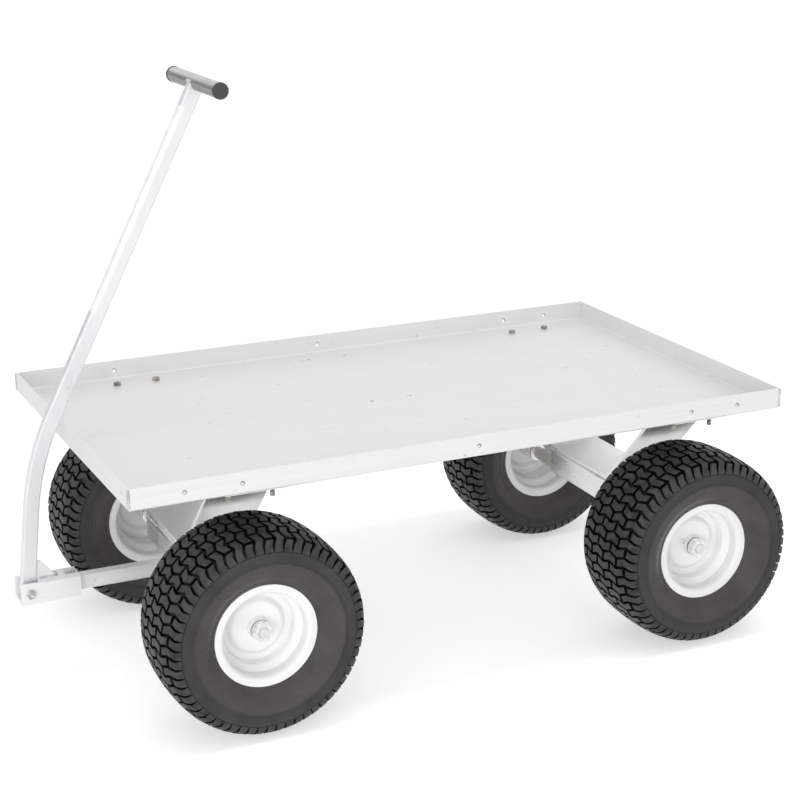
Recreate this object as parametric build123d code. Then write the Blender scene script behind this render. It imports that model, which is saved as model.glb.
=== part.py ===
"""Flat-deck hand wagon with four wide tyres, a steering front axle and a folding pull handle.

Sizes are in millimetres. +Z is up and the ground is Z = 0. X runs from the pull handle at the
front (-X) to the rear (+X), Y runs across. The origin is on the ground under the middle of the
overall box. "Left" is the -Y side and "right" the +Y side, as seen from behind.
"""
import math
import os

from build123d import *

# Deck tray: one sheet folded up on all four sides
TRAY_LENGTH = 1219.2
TRAY_WIDTH = 711.2
TRAY_LIP = 38.1
TRAY_SHEET = 3.2
TRAY_BEND = 5.0
LIP_HOLE_R = 3.5
LIP_HOLE_DROP = 20.5
LIP_HOLE_INSET = 92.0
LIP_HOLE_PITCH = 96.5

# Axle positions, from the two ends of the tray
FRONT_SETBACK = 218.6
REAR_SETBACK = 154.6

# Trough-shaped brackets of bent flat bar between the axle beams and the tray
BRACKET_WIDTH = 108.0
BRACKET_PLATE = 6.35
BRACKET_RISE = 185.0
BRACKET_BASE = 210.0
BRACKET_SPREAD = 548.0
BRACKET_FLANGE = 64.0
BRACKET_BEND = 8.0

# Bolts through the tray and the bracket flanges
BOLT_R = 3.97
BOLT_EDGE = 15.9
BOLT_HEAD_AF = 12.7
BOLT_HEAD_H = 5.3
BOLT_NUT_H = 6.7
BOLT_WASHER_R = 9.5
BOLT_WASHER_T = 1.6
BOLT_STICK_OUT = 13.9

# Rectangular axle beams and the round axle rods under them
BEAM_HEIGHT = 50.8
BEAM_WALL = 4.8
BEAM_CORNER = 5.0
AXLE_R = 12.7
SPINDLE_R = 9.525

# Kingpin on which the front axle steers
KINGPIN_R = 9.525
KINGPIN_NUT_AF = 28.6
KINGPIN_NUT_H = 14.0
KINGPIN_WASHER_R = 19.0
KINGPIN_WASHER_T = 2.5
BUSH_WALL = 3.2
BUSH_FLANGE = 4.5
BUSH_FLANGE_T = 2.0
THRUST_R = 50.0
THRUST_T = 4.0

# Tyres
TYRE_RADIUS = 179.0
TYRE_WIDTH = 174.0
TREAD_WIDTH = 112.0
CROWN_DROP = 3.2
SHOULDER_DROP = 29.0
SHOULDER_INSET = 2.0
BULGE_DROP = 48.0
TREAD_THICKNESS = 12.0
LUG_PITCH = 37.5
GROOVE_WIDTH = 3.0
GROOVE_DEPTH = 6.0
SIDEWALL = 8.0
BEAD_WIDTH = 14.0
TYRE_CLEARANCE = 26.7

# Rims, pressed from sheet
RIM_WIDTH = 128.8
RIM_FLANGE_R = 89.4
RIM_FLANGE_H = 13.4
RIM_GAUGE = 3.0
RIM_BEND = 5.0
WELL_DEPTH = 10.0
WELL_WIDTH = 60.0
DISC_STEP_R = 50.0
DISC_STEP = 10.0
DISC_RAMP = 8.0
DISC_OFFSET = 20.0

# Wheel hubs, their bushes and the hardware on the spindles
HUB_LENGTH = 72.0
HUB_WALL = 6.0
HUB_BUSH_LENGTH = 24.0
HUB_WASHER_R = 17.0
HUB_WASHER_T = 2.5
HUB_NUT_AF = 28.6
HUB_NUT_H = 12.0
SPINDLE_STICK_OUT = 3.0
GREASE_STEM_R = 3.2
GREASE_HEX_AF = 8.0
GREASE_HEX_H = 3.5
GREASE_TIP_R = 2.4
GREASE_TIP_H = 6.0
GREASE_INSET = 8.0

# Tongue, the clevis at its front end and the pivot bolt in it
TONGUE_WIDTH = 19.05
TONGUE_HEIGHT = 25.4
TONGUE_WALL = 3.2
TONGUE_INSERT = 62.0
CLEVIS_WIDTH = 50.8
CLEVIS_WALL = 6.35
CLEVIS_LENGTH = 105.0
CLEVIS_NOSE = 16.5
CLEVIS_CORNER = 3.0
PIVOT_OVERHANG = 85.4
PIVOT_R = 4.76
PIVOT_HEAD_AF = 14.3
PIVOT_HEAD_H = 6.2
PIVOT_NUT_H = 8.3
PIVOT_WASHER_R = 10.0
PIVOT_WASHER_T = 1.6
PIVOT_SPACER_WALL = 3.2

# Pull handle: bent rectangular tube with a crosswise grip
HANDLE_WIDTH = 19.05
HANDLE_DEPTH = 25.4
HANDLE_WALL = 3.2
HANDLE_CORNER = 2.5
HANDLE_LEAN = 27.1
HANDLE_BEND = 470.0
HANDLE_BEND_DROP = 56.0
HANDLE_CLEARANCE = 17.9
HANDLE_REACH = 699.0
GRIP_R = 13.35
GRIP_WALL = 3.2
GRIP_LENGTH = 234.0
CAP_LIP = 0.7
CAP_HEAD = 4.0
CAP_STEM = 14.0
STOP_PLATE = 6.35
STOP_HEIGHT = 31.0
STOP_LENGTH = 36.0

# Clearances
RUN_FIT = 0.05
SLIP_FIT = 0.1
BOLT_FIT = 0.3
SIDE_GAP = 0.3
FOOT_GAP = 1.0

# Heights that follow from the pieces stacked on the ground
AXLE_Z = TYRE_RADIUS
BEAM_Z = AXLE_Z + AXLE_R
BEAM_TOP = BEAM_Z + BEAM_HEIGHT
FRONT_BASE_Z = BEAM_TOP + SIDE_GAP + THRUST_T
DECK_Z = BEAM_TOP + BRACKET_RISE
FLOOR_Z = DECK_Z + TRAY_SHEET
LIP_Z = DECK_Z + TRAY_LIP
FRONT_RISE = DECK_Z - FRONT_BASE_Z

# Places along the wagon, measured so that the overall box is centred on X = 0
NOSE_REACH = TRAY_LENGTH / 2 + PIVOT_OVERHANG + CLEVIS_NOSE
TAIL_REACH = TRAY_LENGTH / 2 + max(TYRE_RADIUS - REAR_SETBACK, 0)
TRAY_X = (NOSE_REACH - TAIL_REACH) / 2
TRAY_FRONT = TRAY_X - TRAY_LENGTH / 2
FRONT_X = TRAY_FRONT + FRONT_SETBACK
REAR_X = TRAY_X + TRAY_LENGTH / 2 - REAR_SETBACK
PIVOT_X = TRAY_FRONT - PIVOT_OVERHANG
NOSE_X = PIVOT_X - CLEVIS_NOSE

# Places across the wagon: the inner tyre shoulders clear the bracket legs
BOLT_Y = (BRACKET_SPREAD + BRACKET_FLANGE) / 2
BOLT_PITCH = BRACKET_WIDTH - 2 * BOLT_EDGE
LEG_RUN = (BRACKET_SPREAD - BRACKET_BASE) / 2
LEG_SLOPE = LEG_RUN / (BRACKET_RISE - BRACKET_PLATE)
SHOULDER_TOP = AXLE_Z + TYRE_RADIUS - BEAM_TOP
WHEEL_Y = BRACKET_BASE / 2 + LEG_SLOPE * SHOULDER_TOP + TYRE_CLEARANCE + TREAD_WIDTH / 2

# Wheel sizes that follow from the ones above
BEAD_R = RIM_FLANGE_R - RIM_FLANGE_H
WELL_R = BEAD_R - WELL_DEPTH
FLANGE_Y = RIM_WIDTH / 2 - RIM_GAUGE
HUB_BUSH_R = SPINDLE_R + BUSH_WALL
HUB_R = HUB_BUSH_R + HUB_WALL
HUB_END = HUB_LENGTH / 2 + BUSH_FLANGE_T + SIDE_GAP
SHOULDER_Y = WHEEL_Y - HUB_END - HUB_WASHER_T
HUB_NUT_Y = WHEEL_Y + HUB_END + HUB_WASHER_T
SPINDLE_END = HUB_NUT_Y + HUB_NUT_H + SPINDLE_STICK_OUT

# Clevis, pivot and handle sizes that follow from the ones above
CLEVIS_HEIGHT = TONGUE_HEIGHT + 2 * CLEVIS_WALL
CLEVIS_TOP = AXLE_Z + CLEVIS_HEIGHT / 2
CLEVIS_SLOT = CLEVIS_WIDTH - 2 * CLEVIS_WALL
PIVOT_Z = AXLE_Z - TONGUE_HEIGHT / 2 + HANDLE_DEPTH / 2 + FOOT_GAP
SPACER_LENGTH = (CLEVIS_SLOT - HANDLE_WIDTH) / 2 - SIDE_GAP
LEAN = math.radians(HANDLE_LEAN)
LEAN_X = math.sin(LEAN)
LEAN_Z = math.cos(LEAN)
PASS_X = TRAY_FRONT - HANDLE_CLEARANCE - HANDLE_DEPTH / 2 * LEAN_Z
PASS_Z = LIP_Z + HANDLE_DEPTH / 2 * LEAN_X
BEND_Z = LIP_Z - HANDLE_BEND_DROP
BEND_X = PASS_X - (PASS_Z - BEND_Z) * LEAN_X / LEAN_Z
GRIP_X = BEND_X + HANDLE_REACH * LEAN_X
GRIP_Z = BEND_Z + HANDLE_REACH * LEAN_Z
FOOT_SLOPE = (BEND_X - PIVOT_X) / (BEND_Z - PIVOT_Z)
FOOT_BACK = HANDLE_DEPTH / 2 * math.hypot(1, FOOT_SLOPE)

BOTTOM = (Align.CENTER, Align.CENTER, Align.MIN)


def ribbon(points, left, right, bend):
    """Face of a bent strip: a line of points thickened to its left and right, bends concentric."""
    heads = []
    for (x0, y0), (x1, y1) in zip(points, points[1:]):
        run = math.hypot(x1 - x0, y1 - y0)
        heads.append(((x1 - x0) / run, (y1 - y0) / run))
    turns = [a[0] * b[1] - a[1] * b[0] for a, b in zip(heads, heads[1:])]
    sides = []
    for shift in (left, -right):
        line = [(points[0][0] - heads[0][1] * shift, points[0][1] + heads[0][0] * shift)]
        radii = []
        for point, a, b, turn in zip(points[1:], heads, heads[1:], turns):
            scale = shift / (1 + a[0] * b[0] + a[1] * b[1])
            line.append((point[0] - (a[1] + b[1]) * scale, point[1] + (a[0] + b[0]) * scale))
            radii.append(bend - math.copysign(shift, shift * turn) if turn * shift else bend)
        line.append((points[-1][0] - heads[-1][1] * shift, points[-1][1] + heads[-1][0] * shift))
        sides.append(FilletPolyline(*line, radius=radii))
    ends = [Line(sides[0] @ 0, sides[1] @ 0), Line(sides[0] @ 1, sides[1] @ 1)]
    return make_face(sides + ends)


def hex_prism(across, height):
    """Hexagon bar along +Z from Z = 0 with its two ends chamfered."""
    corner = across / math.sqrt(3)
    cut = corner - across / 2
    blank = Cylinder(corner, height, align=BOTTOM)
    blank = chamfer(blank.edges().filter_by(GeomType.CIRCLE), cut * 0.55, cut)
    return extrude(RegularPolygon(across / 2, 6, major_radius=False), height) & blank


def ring(outer, inner, height):
    """Washer or sleeve along +Z from Z = 0."""
    return Cylinder(outer, height, align=BOTTOM) - Cylinder(inner, height, align=BOTTOM)


def spun(outline):
    """Solid of revolution about Y from a face drawn with X as the radius."""
    return revolve(outline, Axis.Y, 360)


def along_y(shape, y, side):
    """Turn a piece built along +Z so that it runs outward along Y, from y on the given side."""
    return Pos(0, side * y, 0) * Rot(-90 * side, 0, 0) * shape


def bolt_places(centre_x):
    """The four bolt places of one bracket."""
    return [(centre_x + sx * BOLT_PITCH / 2, sy * BOLT_Y) for sx in (-1, 1) for sy in (-1, 1)]


def deck_tray():
    """Shallow folded tray with its holes, kept as a flat floor and four lips that meet on the bends."""
    shell = Box(TRAY_LENGTH, TRAY_WIDTH, TRAY_LIP, align=BOTTOM)
    shell = fillet(shell.edges().group_by(Axis.Z)[0], TRAY_BEND)
    inside = Box(TRAY_LENGTH - 2 * TRAY_SHEET, TRAY_WIDTH - 2 * TRAY_SHEET, TRAY_LIP, align=BOTTOM)
    inside = fillet(inside.edges().group_by(Axis.Z)[0], TRAY_BEND - TRAY_SHEET)
    tray = Pos(TRAY_X, 0, DECK_Z) * (shell - Pos(0, 0, TRAY_SHEET) * inside)
    places = bolt_places(FRONT_X) + bolt_places(REAR_X) + bolt_places(TRAY_X)
    places += [(TRAY_X - BOLT_PITCH / 2, 0), (TRAY_X + BOLT_PITCH / 2, 0)]
    drill = Cylinder(BOLT_R + BOLT_FIT, 4 * TRAY_SHEET)
    tray -= [Pos(x, y, DECK_Z) * drill for x, y in places]
    outer = TRAY_LENGTH / 2 - LIP_HOLE_INSET
    offsets = (-outer, LIP_HOLE_PITCH - outer, 0, outer - LIP_HOLE_PITCH, outer)
    lip_drill = Rot(90, 0, 0) * Cylinder(LIP_HOLE_R, TRAY_WIDTH + TRAY_LIP)
    tray -= [Pos(TRAY_X + x, 0, LIP_Z - LIP_HOLE_DROP) * lip_drill for x in offsets]
    flat_width = TRAY_WIDTH - 2 * TRAY_BEND
    flat = Pos(TRAY_X, 0, DECK_Z) * Box(TRAY_LENGTH - 2 * TRAY_BEND, flat_width, TRAY_LIP, align=BOTTOM)
    across = Pos(TRAY_X, 0, DECK_Z) * Box(TRAY_LENGTH, flat_width, TRAY_LIP, align=BOTTOM)
    side_lips = tray - across
    end_lips = (tray & across) - flat
    return [tray & flat, *side_lips.solids(), *end_lips.solids()]


def bracket(centre_x, base_z, rise):
    """Trough of bent flat bar with bolt holes in its two flanges."""
    half = [(BRACKET_BASE / 2, BRACKET_PLATE), (BRACKET_SPREAD / 2, rise)]
    half.append((BRACKET_SPREAD / 2 + BRACKET_FLANGE, rise))
    inner = [(-y, z) for y, z in reversed(half)] + half
    strip = Plane.YZ * ribbon(inner, 0, BRACKET_PLATE, BRACKET_BEND)
    bar = Pos(centre_x, 0, base_z) * extrude(strip, BRACKET_WIDTH / 2, both=True)
    drill = Cylinder(BOLT_R + BOLT_FIT, 4 * BRACKET_PLATE)
    return bar - [Pos(x, y, DECK_Z) * drill for x, y in bolt_places(centre_x)]


def front_bracket():
    """Front bracket, with the kingpin hole through its base."""
    hole = Pos(FRONT_X, 0, FRONT_BASE_Z) * Cylinder(KINGPIN_R + SLIP_FIT, 4 * BRACKET_PLATE)
    return bracket(FRONT_X, FRONT_BASE_Z, FRONT_RISE) - hole


def rear_bracket():
    """Rear bracket, welded straight onto the rear axle beam."""
    return bracket(REAR_X, BEAM_TOP, BRACKET_RISE)


def deck_bolts():
    """Hexagon bolts put down through the tray floor and the bracket flanges."""
    length = TRAY_SHEET + BRACKET_PLATE + BOLT_WASHER_T + BOLT_NUT_H + BOLT_STICK_OUT
    shank = Pos(0, 0, -length) * Cylinder(BOLT_R, length, align=BOTTOM)
    bolt = hex_prism(BOLT_HEAD_AF, BOLT_HEAD_H) + shank
    places = bolt_places(FRONT_X) + bolt_places(REAR_X)
    return [Pos(x, y, FLOOR_Z) * bolt for x, y in places]


def deck_washers():
    """Washers under the deck nuts."""
    washer = ring(BOLT_WASHER_R, BOLT_R + BOLT_FIT, BOLT_WASHER_T)
    z = DECK_Z - BRACKET_PLATE - BOLT_WASHER_T
    return [Pos(x, y, z) * washer for x, y in bolt_places(FRONT_X) + bolt_places(REAR_X)]


def deck_nuts():
    """Nuts on the deck bolts."""
    nut = hex_prism(BOLT_HEAD_AF, BOLT_NUT_H)
    nut -= Cylinder(BOLT_R + RUN_FIT, BOLT_NUT_H, align=BOTTOM)
    z = DECK_Z - BRACKET_PLATE - BOLT_WASHER_T - BOLT_NUT_H
    return [Pos(x, y, z) * nut for x, y in bolt_places(FRONT_X) + bolt_places(REAR_X)]


def axle_beam(centre_x):
    """Rectangular tube lying across the wagon."""
    outer = Box(BRACKET_WIDTH, BRACKET_BASE, BEAM_HEIGHT, align=BOTTOM)
    outer = fillet(outer.edges().filter_by(Axis.Y), BEAM_CORNER)
    inner = Box(BRACKET_WIDTH - 2 * BEAM_WALL, BRACKET_BASE, BEAM_HEIGHT - 2 * BEAM_WALL, align=BOTTOM)
    return Pos(centre_x, 0, BEAM_Z) * (outer - Pos(0, 0, BEAM_WALL) * inner)


def front_axle_beam():
    """Front axle beam, bored in its top wall for the kingpin bush."""
    bore = Pos(FRONT_X, 0, BEAM_TOP) * Cylinder(KINGPIN_R + BUSH_WALL, 4 * BEAM_WALL)
    return axle_beam(FRONT_X) - bore


def axle_rod(centre_x):
    """Round rod turned down to a spindle at each end."""
    chamf = SPINDLE_R / 8
    half = [(AXLE_R, SHOULDER_Y), (SPINDLE_R, SHOULDER_Y), (SPINDLE_R, SPINDLE_END - chamf)]
    half.append((SPINDLE_R - chamf, SPINDLE_END))
    edge = [(0, SPINDLE_END)] + list(reversed(half)) + [(r, -y) for r, y in half] + [(0, -SPINDLE_END)]
    return Pos(centre_x, 0, AXLE_Z) * spun(make_face(Polyline(*edge, close=True)))


def kingpin_bolt():
    """Pin set flush into the front bracket, with its threaded end down inside the beam."""
    end_z = BEAM_TOP - BEAM_WALL - BUSH_FLANGE_T - SIDE_GAP - KINGPIN_WASHER_T - KINGPIN_NUT_H
    top_z = FRONT_BASE_Z + BRACKET_PLATE
    return Pos(FRONT_X, 0, end_z) * Cylinder(KINGPIN_R, top_z - end_z, align=BOTTOM)


def kingpin_washer():
    """Washer between the bush flange and the kingpin nut."""
    z = BEAM_TOP - BEAM_WALL - BUSH_FLANGE_T - SIDE_GAP - KINGPIN_WASHER_T
    return Pos(FRONT_X, 0, z) * ring(KINGPIN_WASHER_R, KINGPIN_R + SLIP_FIT, KINGPIN_WASHER_T)


def kingpin_nut():
    """Lock nut inside the front beam."""
    z = BEAM_TOP - BEAM_WALL - BUSH_FLANGE_T - SIDE_GAP - KINGPIN_WASHER_T - KINGPIN_NUT_H
    nut = hex_prism(KINGPIN_NUT_AF, KINGPIN_NUT_H)
    return Pos(FRONT_X, 0, z) * (nut - Cylinder(KINGPIN_R + RUN_FIT, KINGPIN_NUT_H, align=BOTTOM))


def kingpin_bush():
    """Flanged bush in the top wall of the front beam, turning on the kingpin."""
    flange = ring(KINGPIN_R + BUSH_WALL + BUSH_FLANGE, KINGPIN_R + RUN_FIT, BUSH_FLANGE_T)
    sleeve = ring(KINGPIN_R + BUSH_WALL, KINGPIN_R + RUN_FIT, BUSH_FLANGE_T + BEAM_WALL)
    return Pos(FRONT_X, 0, BEAM_TOP - BEAM_WALL - BUSH_FLANGE_T) * (flange + sleeve)


def thrust_plate():
    """Round plate under the front bracket on which the front beam turns."""
    return Pos(FRONT_X, 0, FRONT_BASE_Z - THRUST_T) * ring(THRUST_R, KINGPIN_R + SLIP_FIT, THRUST_T)


def hub_washers(centre_x):
    """The washers inboard and outboard of the two hubs of one axle."""
    washer = ring(HUB_WASHER_R, SPINDLE_R + SLIP_FIT, HUB_WASHER_T)
    place = Pos(centre_x, 0, AXLE_Z)
    return [place * along_y(washer, y, side) for side in (-1, 1) for y in (SHOULDER_Y, WHEEL_Y + HUB_END)]


def hub_nuts(centre_x):
    """The two spindle nuts of one axle."""
    nut = hex_prism(HUB_NUT_AF, HUB_NUT_H)
    nut -= Cylinder(SPINDLE_R + RUN_FIT, HUB_NUT_H, align=BOTTOM)
    return [Pos(centre_x, 0, AXLE_Z) * along_y(nut, HUB_NUT_Y, side) for side in (-1, 1)]


def tyre():
    """Moulded tyre, open towards the rim, with lugs across the tread and its beads on the rim seats."""
    bulge_r = TYRE_RADIUS - BULGE_DROP
    shoulder_r = TYRE_RADIUS - SHOULDER_DROP
    half = TYRE_WIDTH / 2
    edge_y = TREAD_WIDTH / 2
    edge_r = TYRE_RADIUS - CROWN_DROP
    corner = (shoulder_r, half - SHOULDER_INSET)
    knee = (edge_r - (edge_r - shoulder_r) * 0.30, edge_y + (corner[1] - edge_y) * 0.68)
    rim_edge = (RIM_FLANGE_R + SIDE_GAP, RIM_WIDTH / 2)
    bead_in = FLANGE_Y - BEAD_WIDTH
    inner_r = TYRE_RADIUS - TREAD_THICKNESS
    inside = [(inner_r - CROWN_DROP, edge_y), (shoulder_r, half - SIDEWALL - SHOULDER_INSET)]
    inside += [(bulge_r, half - SIDEWALL), (BEAD_R + RIM_FLANGE_H, bead_in), (BEAD_R, bead_in)]
    right = [ThreePointArc((edge_r, edge_y), knee, corner)]
    right.append(ThreePointArc(corner, (bulge_r, half), rim_edge))
    heel = [rim_edge, (rim_edge[0], FLANGE_Y), (BEAD_R, FLANGE_Y), (BEAD_R, bead_in)]
    right.append(FilletPolyline(*heel, radius=[SIDE_GAP, RIM_BEND]))
    right.append(Polyline(*inside))
    crown = ThreePointArc((edge_r, -edge_y), (TYRE_RADIUS, 0), (edge_r, edge_y))
    roof = ThreePointArc((inside[0][0], -edge_y), (inner_r, 0), inside[0])
    left = [mirror(edge, Plane.XZ) for edge in right]
    casing = spun(make_face([crown, roof] + right + left))
    sill = [(edge_r - GROOVE_DEPTH, edge_y), (knee[0] - GROOVE_DEPTH / 2, knee[1] - GROOVE_DEPTH / 2), corner]
    ramp = ThreePointArc(*sill)
    top = TYRE_RADIUS + GROOVE_DEPTH
    lid = Polyline(corner, (shoulder_r, half), (top, half), (top, 0))
    bed = ThreePointArc((sill[0][0], -edge_y), (TYRE_RADIUS - GROOVE_DEPTH, 0), sill[0])
    spread = 360 * GROOVE_WIDTH / (2 * math.pi * TYRE_RADIUS)
    far = [mirror(edge, Plane.XZ) for edge in (ramp, lid)]
    groove = revolve(make_face([bed, ramp, lid] + far), Axis.Y, spread)
    lugs = round(2 * math.pi * TYRE_RADIUS / LUG_PITCH)
    return casing - [Rot(0, k * 360 / lugs, 0) * groove for k in range(lugs)]


def rim():
    """Pressed rim: flanges, bead seats and well, with the stepped disc that holds the hub."""
    step = (BEAD_R, WELL_WIDTH / 2 + WELL_DEPTH)
    half = [(RIM_FLANGE_R, FLANGE_Y), (BEAD_R, FLANGE_Y), step, (WELL_R, WELL_WIDTH / 2)]
    barrel = ribbon(half + [(r, -y) for r, y in reversed(half)], 0, RIM_GAUGE, RIM_BEND)
    face_y = DISC_OFFSET - DISC_STEP
    disc = [(WELL_R - RIM_GAUGE / 2, face_y), (DISC_STEP_R, face_y)]
    disc += [(DISC_STEP_R - DISC_RAMP, DISC_OFFSET), (HUB_R, DISC_OFFSET)]
    return spun(barrel) + spun(ribbon(disc, 0, RIM_GAUGE, RIM_BEND))


def hub():
    """Tube through the middle of the disc."""
    sleeve = Cylinder(HUB_R, HUB_LENGTH) - Cylinder(HUB_BUSH_R, HUB_LENGTH)
    hole_z = HUB_LENGTH / 2 - GREASE_INSET
    hole = Pos(0, 0, hole_z) * Rot(0, 90, 0) * Cylinder(GREASE_STEM_R, 2 * HUB_R, align=BOTTOM)
    return Rot(-90, 0, 0) * (sleeve - hole)


def hub_bushings():
    """Two flanged bushes pushed into the hub ends."""
    flange = Pos(0, 0, HUB_BUSH_LENGTH) * ring(HUB_BUSH_R + BUSH_FLANGE, SPINDLE_R + RUN_FIT, BUSH_FLANGE_T)
    bush = ring(HUB_BUSH_R, SPINDLE_R + RUN_FIT, HUB_BUSH_LENGTH) + flange
    return [along_y(bush, HUB_LENGTH / 2 - HUB_BUSH_LENGTH, side) for side in (-1, 1)]


def grease_fitting():
    """Grease fitting screwed into the outer end of the hub."""
    stem = Cylinder(GREASE_STEM_R, HUB_WALL, align=BOTTOM)
    body = Pos(0, 0, HUB_WALL) * hex_prism(GREASE_HEX_AF, GREASE_HEX_H)
    tip = Pos(0, 0, HUB_WALL + GREASE_HEX_H) * Cylinder(GREASE_TIP_R, GREASE_TIP_H, align=BOTTOM)
    piece = Pos(0, HUB_LENGTH / 2 - GREASE_INSET, 0) * Rot(0, 90, 0) * Pos(0, 0, HUB_BUSH_R)
    return piece * (stem + body + tip)


def wheel(name, centre_x, side, turn):
    """The pieces of one wheel, its outer face outward and turned about Y by an angle."""
    place = Pos(centre_x, side * WHEEL_Y, AXLE_Z) * Rot(0, turn, 0) * Rot(0, 0, 90 - 90 * side)
    return {
        "tyre_" + name: place * TYRE,
        "rim_" + name: place * rim(),
        "hub_" + name: place * hub(),
        "hub_bushings_" + name: [place * bush for bush in hub_bushings()],
        "grease_fitting_" + name: place * grease_fitting(),
    }


def tongue():
    """Tube from inside the clevis to the front axle rod, under the front beam."""
    front = NOSE_X + CLEVIS_LENGTH - TONGUE_INSERT
    length = FRONT_X - AXLE_R - front
    place = (Align.MIN, Align.CENTER, Align.CENTER)
    outer = Box(length, TONGUE_WIDTH, TONGUE_HEIGHT, align=place)
    inner = Box(length, TONGUE_WIDTH - 2 * TONGUE_WALL, TONGUE_HEIGHT - 2 * TONGUE_WALL, align=place)
    return Pos(front, 0, AXLE_Z) * (outer - inner)


def clevis():
    """Rectangular tube around the tongue end, its top cut away in front for the handle."""
    place = (Align.MIN, Align.CENTER, Align.CENTER)
    outer = Box(CLEVIS_LENGTH, CLEVIS_WIDTH, CLEVIS_HEIGHT, align=place)
    outer = fillet(outer.edges().filter_by(Axis.X), CLEVIS_CORNER)
    body = outer - Box(CLEVIS_LENGTH, CLEVIS_SLOT, TONGUE_HEIGHT, align=place)
    slot_length = stop_foot() - NOSE_X
    body -= Box(slot_length, CLEVIS_SLOT, CLEVIS_HEIGHT, align=(Align.MIN, Align.CENTER, Align.MIN))
    bore = Pos(CLEVIS_NOSE, 0, PIVOT_Z - AXLE_Z) * Rot(90, 0, 0)
    return Pos(NOSE_X, 0, AXLE_Z) * (body - bore * Cylinder(PIVOT_R + SLIP_FIT, 2 * CLEVIS_WIDTH))


def back_face(z):
    """X of the rear face of the upright handle foot at a height."""
    return PIVOT_X + FOOT_SLOPE * (z - PIVOT_Z) + FOOT_BACK


def stop_foot():
    """X of the front foot of the handle stop on the clevis."""
    return back_face(CLEVIS_TOP) + SIDE_GAP


def handle_stop():
    """Gusset on the clevis that the upright handle leans back on."""
    top = CLEVIS_TOP + STOP_HEIGHT
    foot = stop_foot()
    tip = back_face(top) + SIDE_GAP
    outline = [(foot, CLEVIS_TOP), (tip, top), (tip + STOP_PLATE, top), (foot + STOP_LENGTH, CLEVIS_TOP)]
    face = Plane.XZ * make_face(Polyline(*outline, close=True))
    return extrude(face, STOP_PLATE / 2, both=True)


def pivot_bolt():
    """Hexagon bolt across the clevis, its head on the left."""
    length = CLEVIS_WIDTH + PIVOT_WASHER_T + PIVOT_NUT_H + PIVOT_R / 2
    shank = Cylinder(PIVOT_R, length + PIVOT_HEAD_H, align=BOTTOM)
    bolt = hex_prism(PIVOT_HEAD_AF, PIVOT_HEAD_H) + shank
    return Pos(PIVOT_X, 0, PIVOT_Z) * along_y(bolt, -CLEVIS_WIDTH / 2 - PIVOT_HEAD_H, 1)


def pivot_washer():
    """Washer under the pivot nut."""
    washer = ring(PIVOT_WASHER_R, PIVOT_R + SLIP_FIT, PIVOT_WASHER_T)
    return Pos(PIVOT_X, 0, PIVOT_Z) * along_y(washer, CLEVIS_WIDTH / 2, 1)


def pivot_nut():
    """Lock nut on the pivot bolt."""
    nut = hex_prism(PIVOT_HEAD_AF, PIVOT_NUT_H) - Cylinder(PIVOT_R + RUN_FIT, PIVOT_NUT_H, align=BOTTOM)
    return Pos(PIVOT_X, 0, PIVOT_Z) * along_y(nut, CLEVIS_WIDTH / 2 + PIVOT_WASHER_T, 1)


def pivot_spacers():
    """Sleeves on the pivot bolt that hold the handle in the middle of the clevis."""
    sleeve = ring(PIVOT_R + PIVOT_SPACER_WALL, PIVOT_R + SLIP_FIT, SPACER_LENGTH)
    start = HANDLE_WIDTH / 2 + SIDE_GAP
    return [Pos(PIVOT_X, 0, PIVOT_Z) * along_y(sleeve, start, side) for side in (-1, 1)]


def handle_solid(half, width, corner):
    """Bent bar along the handle line with a rounded foot about the pivot."""
    line = [(PIVOT_X, PIVOT_Z), (BEND_X, BEND_Z), (GRIP_X, GRIP_Z)]
    outline = Plane.XZ * (ribbon(line, half, half, HANDLE_BEND) + Pos(PIVOT_X, PIVOT_Z) * Circle(half))
    bar = extrude(outline, width / 2, both=True)
    if corner:
        sides = bar.faces().sort_by(Axis.Y)
        bar = fillet(sides[0].edges() + sides[-1].edges(), corner)
    return bar


def handle_tube():
    """Handle tube, bored for the pivot bolt and coped round the grip."""
    half = HANDLE_DEPTH / 2
    tube = handle_solid(half, HANDLE_WIDTH, HANDLE_CORNER)
    tube -= handle_solid(half - HANDLE_WALL, HANDLE_WIDTH - 2 * HANDLE_WALL, 0)
    bore = Rot(90, 0, 0) * Cylinder(PIVOT_R + RUN_FIT, 2 * HANDLE_WIDTH)
    cope = Rot(90, 0, 0) * Cylinder(GRIP_R, 2 * HANDLE_WIDTH)
    return tube - Pos(PIVOT_X, 0, PIVOT_Z) * bore - Pos(GRIP_X, 0, GRIP_Z) * cope


def grip_tube():
    """Round tube across the top of the handle."""
    tube = Cylinder(GRIP_R, GRIP_LENGTH) - Cylinder(GRIP_R - GRIP_WALL, GRIP_LENGTH)
    return Pos(GRIP_X, 0, GRIP_Z) * Rot(90, 0, 0) * tube


def grip_caps():
    """Plugs in the two ends of the grip."""
    head = Pos(0, 0, CAP_STEM) * Cylinder(GRIP_R + CAP_LIP, CAP_HEAD, align=BOTTOM)
    head = fillet(head.edges().group_by(Axis.Z)[-1], CAP_HEAD / 3)
    plug = Cylinder(GRIP_R - GRIP_WALL - SLIP_FIT, CAP_STEM, align=BOTTOM) + head
    place = Pos(GRIP_X, 0, GRIP_Z)
    return [place * along_y(plug, GRIP_LENGTH / 2 - CAP_STEM, side) for side in (-1, 1)]


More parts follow.
